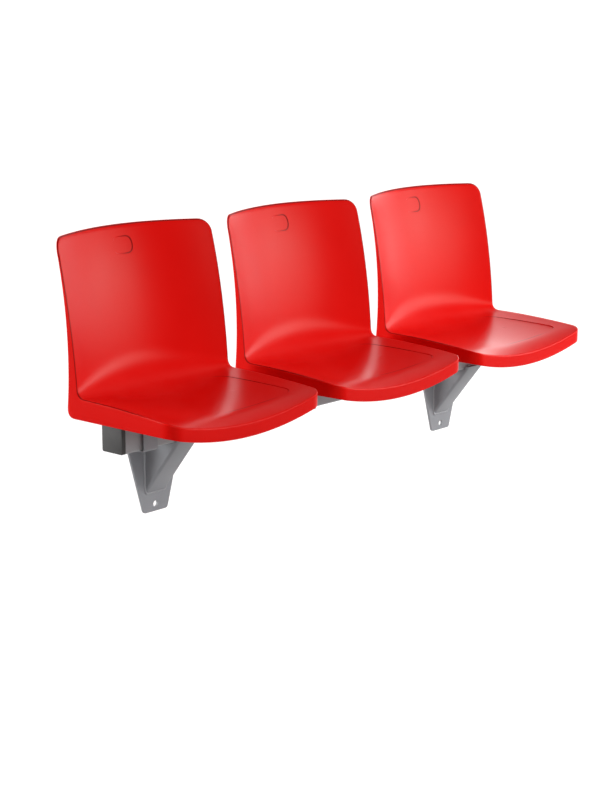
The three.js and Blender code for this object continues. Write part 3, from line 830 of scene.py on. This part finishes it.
def rib_along(body, x, start, end, foot):
    top = []
    for step in range(1, rib_steps):
        point = shell_point(x, between(start, end, step / rib_steps), shell_wall / 2)
        top.append(Vector((point.y, point.z)))
    rib_from(body, top + foot, False, x - rib_wall / 2, x + rib_wall / 2)


def rib_across(body, back, left, right, foot):
    places = [between(left, right, step / cross_rib_steps) for step in range(cross_rib_steps + 1)]
    top = [Vector((x, under_pan(x, back))) for x in places]
    outline = [Vector((left, foot)), Vector((right, foot))] + top[::-1]
    rib_from(body, outline, True, back - rib_wall / 2, back + rib_wall / 2)


def boss(body, x, back):
    profile = [
        (bolt_hole, saddle_bottom + bolt_hole_depth),
        (bolt_hole, saddle_bottom),
        (boss_foot, saddle_bottom),
        (boss_radius, saddle_bottom + boss_edge),
        (boss_top, under_pan(x, back)),
    ]
    rings = []
    for radius, height in profile:
        ring = []
        for side in range(boss_sides):
            angle = 2 * math.pi * side / boss_sides
            outward = Vector((math.cos(angle), math.sin(angle), 0)) * radius
            ring.append(body.verts.new(Vector((x, back, height)) + outward))
        rings.append(ring)
    body.faces.new(rings[0])
    join_rings(body, rings)
    body.faces.new(rings[-1][::-1])


def shell_underside(body):
    rib_along(body, 0, back_height, spine_end, spine_foot)
    inside = shell_side - skirt_wall / 2
    cross_foot = seat_line(0, -cross_rib_back).y - cross_rib_height
    rib_across(body, cross_rib_back, -inside, inside, cross_foot)
    for x in (-clamp_spread / 2, clamp_spread / 2):
        front = front_bolt - ear / 2
        rear = rear_bolt + ear / 2
        hollow = (1 - (x / shell_side) ** 2) * hollow_at_seat
        front_along = back_height + saddle_reach - front
        rear_along = back_height + hollow - rear
        for side in (-saddle_spread / 2, saddle_spread / 2):
            foot = [Vector((front, saddle_bottom)), Vector((rear, saddle_bottom))]
            rib_along(body, x + side, rear_along - saddle_spread / 2, front_along, foot)
        for back in (front + rib_wall / 2, (front + rear) / 2, rear - rib_wall / 2):
            rib_across(body, back, x - saddle_spread / 2, x + saddle_spread / 2, saddle_bottom)
        for back in (front_bolt, rear_bolt):
            boss(body, x, back)


shell_sharp_from = math.radians(38)
shell_mesh = bpy.data.meshes.new("seat_shell")
shell_body = bmesh.new()
shell_sheet(shell_body)
shell_underside(shell_body)
bmesh.ops.recalc_face_normals(shell_body, faces=shell_body.faces)
for shell_face in shell_body.faces:
    shell_face.smooth = True
for shell_edge in shell_body.edges:
    if len(shell_edge.link_faces) == 2 and shell_edge.calc_face_angle(0) > shell_sharp_from:
        shell_edge.smooth = False
shell_body.to_mesh(shell_mesh)
shell_body.free()

red_shade = (0.665, 0.0015, 0.0008)
red_light = (0.705, 0.0022, 0.0012)
red_dust = (0.62, 0.30, 0.26)
# A near-black red, laid over the shade lines as painted shade.
red_painted_shade = (0.12, 0.0006, 0.0005)
seat_moulding = bpy.data.materials.new("seat_moulding")
seat_moulding.use_nodes = True
seat_tree = seat_moulding.node_tree
seat_shader = seat_tree.nodes["Principled BSDF"]
seat_shader.inputs["Specular IOR Level"].default_value = 0.066
seat_shader.inputs["Specular Tint"].default_value = (1, 0.99, 0.80, 1)
seat_grain = place_group(
    seat_tree, surface_grain, Grain_Scale=1300, Wave_Scale=6, Wave_Share=0.12
)
seat_dust = place_group(seat_tree, settled_dust, Patch_Scale=11, Amount=0.03)
seat_flow = stretch(seat_tree, seat_grain.outputs["Blotch"], 0.25, 0.75, 0, 1)
seat_colour = blend_colours(seat_tree, seat_flow, red_shade, red_light)
seat_dusted = blend_colours(seat_tree, seat_dust.outputs["Mask"], seat_colour, red_dust)
# The shell's shade-line layer darkens the colour in the rim's groove and along the recesses'
# right-hand edges: painted shade.
seat_line_mark = seat_tree.nodes.new("ShaderNodeAttribute")
seat_line_mark.attribute_name = "painted_shade_line"
seat_line_mask = stretch(seat_tree, seat_line_mark.outputs["Fac"], 0, 1, 0, 0.92)
seat_lined = blend_colours(seat_tree, seat_line_mask, seat_dusted, red_painted_shade)
seat_tree.links.new(seat_lined, seat_shader.inputs["Base Color"])
seat_rough = stretch(seat_tree, seat_grain.outputs["Blotch"], 0.3, 0.7, 0.28, 0.33)
seat_tree.links.new(seat_rough, seat_shader.inputs["Roughness"])
seat_bump = seat_tree.nodes.new("ShaderNodeBump")
seat_bump.inputs["Strength"].default_value = 0.12
seat_bump.inputs["Distance"].default_value = 0.0001
seat_tree.links.new(seat_grain.outputs["Height"], seat_bump.inputs["Height"])
seat_tree.links.new(seat_bump.outputs["Normal"], seat_shader.inputs["Normal"])
shell_mesh.materials.append(seat_moulding)

seat_pitch = 0.5
first_middle = 0.0065
datum_back = -0.007
datum_height = 0.197
for seat in (1, 2, 3):
    shell = bpy.data.objects.new(f"moulded_shell_{seat}", shell_mesh)
    bpy.context.scene.collection.objects.link(shell)
    shell.location = (first_middle + (seat - 1) * seat_pitch, datum_back, datum_height)
    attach(shell, "root")
    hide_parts(f"seat_shell_{seat}")


# Floor: a plain pale ground below the row, at the height where a sitter's feet would rest. It
# reaches so far that no edge of it shows, and looks white to the camera and in reflections.
floor_middle = (0.5, 0, -0.25)
floor_reach = 400
floor_mesh = bpy.data.meshes.new("floor")
floor_body = bmesh.new()
bmesh.ops.create_grid(floor_body, x_segments=1, y_segments=1, size=floor_reach)
floor_body.to_mesh(floor_mesh)
floor_body.free()
floor = bpy.data.objects.new("floor", floor_mesh)
bpy.context.scene.collection.objects.link(floor)
floor.location = floor_middle
floor_paint = bpy.data.materials.new("floor_paint")
floor_paint.use_nodes = True
floor_tree = floor_paint.node_tree
floor_shader = floor_tree.nodes["Principled BSDF"]
floor_shader.inputs["Base Color"].default_value = (0.45, 0.45, 0.45, 1)
floor_shader.inputs["Roughness"].default_value = 0.9
floor_shader.inputs["Specular IOR Level"].default_value = 0.1
floor_shader.inputs["Emission Color"].default_value = (1, 1, 1, 1)


def strongest(tree, strength, rays, kinds):
    for kind in kinds:
        most = tree.nodes.new("ShaderNodeMath")
        most.operation = "MAXIMUM"
        tree.links.new(strength, most.inputs[0])
        tree.links.new(rays.outputs[kind], most.inputs[1])
        strength = most.outputs[0]
    return strength


floor_rays = floor_tree.nodes.new("ShaderNodeLightPath")
floor_seen = strongest(
    floor_tree, floor_rays.outputs["Is Camera Ray"], floor_rays,
    ("Is Glossy Ray", "Is Transmission Ray"),
)
floor_glow = floor_tree.nodes.new("ShaderNodeMath")
floor_glow.operation = "MULTIPLY"
floor_glow.inputs[1].default_value = 0.67
floor_tree.links.new(floor_seen, floor_glow.inputs[0])
floor_tree.links.new(floor_glow.outputs[0], floor_shader.inputs["Emission Strength"])
floor_mesh.materials.append(floor_paint)


# Light: two soft boxes stand off the row's right end, with broad distant light from behind the
# left end, from the front and from above. The room lights the row dimly, but for a low glow at
# the back right, and looks white to the camera and in reflections.
def soft_box(name, place, aim, wide, high, strength):
    data = bpy.data.lights.new(name, "AREA")
    data.shape = "RECTANGLE"
    data.size = wide
    data.size_y = high
    data.energy = strength * wide * high * math.pi
    lamp = bpy.data.objects.new(name, data)
    bpy.context.scene.collection.objects.link(lamp)
    lamp.visible_camera = False
    lamp.location = place
    lamp.rotation_mode = "QUATERNION"
    lamp.rotation_quaternion = (Vector(place) - Vector(aim)).to_track_quat("Z", "Y")


def distant_light(name, towards, spread, strength):
    data = bpy.data.lights.new(name, "SUN")
    data.energy = strength * math.pi
    data.angle = math.radians(spread)
    lamp = bpy.data.objects.new(name, data)
    bpy.context.scene.collection.objects.link(lamp)
    lamp.rotation_mode = "QUATERNION"
    lamp.rotation_quaternion = Vector(towards).to_track_quat("Z", "Y")


soft_box("end_box", (3.0, -1.0, 0.62), (0.5, 0.0, 0.40), wide=3.6, high=0.75, strength=4.0)
soft_box("side_box", (2.6, -1.9, 0.95), (1.0, 0.0, 0.45), wide=1.8, high=0.7, strength=7.6)
distant_light("left_glow", (-0.62, 0.76, 0.20), spread=42, strength=1.18)
distant_light("front_glow", (-0.24, -0.90, 0.34), spread=34, strength=0.41)
distant_light("overhead", (0, -0.10, 1), spread=80, strength=0.26)

room = bpy.data.worlds.new("room")
bpy.context.scene.world = room
room.use_nodes = True
room_tree = room.node_tree
room_shader = room_tree.nodes["Background"]
room_shader.inputs["Color"].default_value = (1, 1, 1, 1)
room_place = room_tree.nodes.new("ShaderNodeTexCoord")
room_side = room_tree.nodes.new("ShaderNodeVectorMath")
room_side.operation = "DOT_PRODUCT"
room_side.inputs[1].default_value = (0.75, 0.65, 0.10)
room_tree.links.new(room_place.outputs["Generated"], room_side.inputs[0])
room_height = room_tree.nodes.new("ShaderNodeSeparateXYZ")
room_tree.links.new(room_place.outputs["Generated"], room_height.inputs[0])
room_near = stretch(room_tree, room_side.outputs["Value"], 0.72, 0.97, 0, 3.4)
room_low = stretch(room_tree, room_height.outputs["Z"], 0.28, 0.55, 1, 0)
room_glow = room_tree.nodes.new("ShaderNodeMath")
room_glow.operation = "MULTIPLY_ADD"
room_glow.inputs[2].default_value = 0.06
room_tree.links.new(room_near, room_glow.inputs[0])
room_tree.links.new(room_low, room_glow.inputs[1])
room_rays = room_tree.nodes.new("ShaderNodeLightPath")
room_light = strongest(
    room_tree, room_glow.outputs[0], room_rays,
    ("Is Camera Ray", "Is Glossy Ray", "Is Transmission Ray"),
)
room_tree.links.new(room_light, room_shader.inputs["Strength"])
bpy.context.scene.view_settings.view_transform = "Standard"
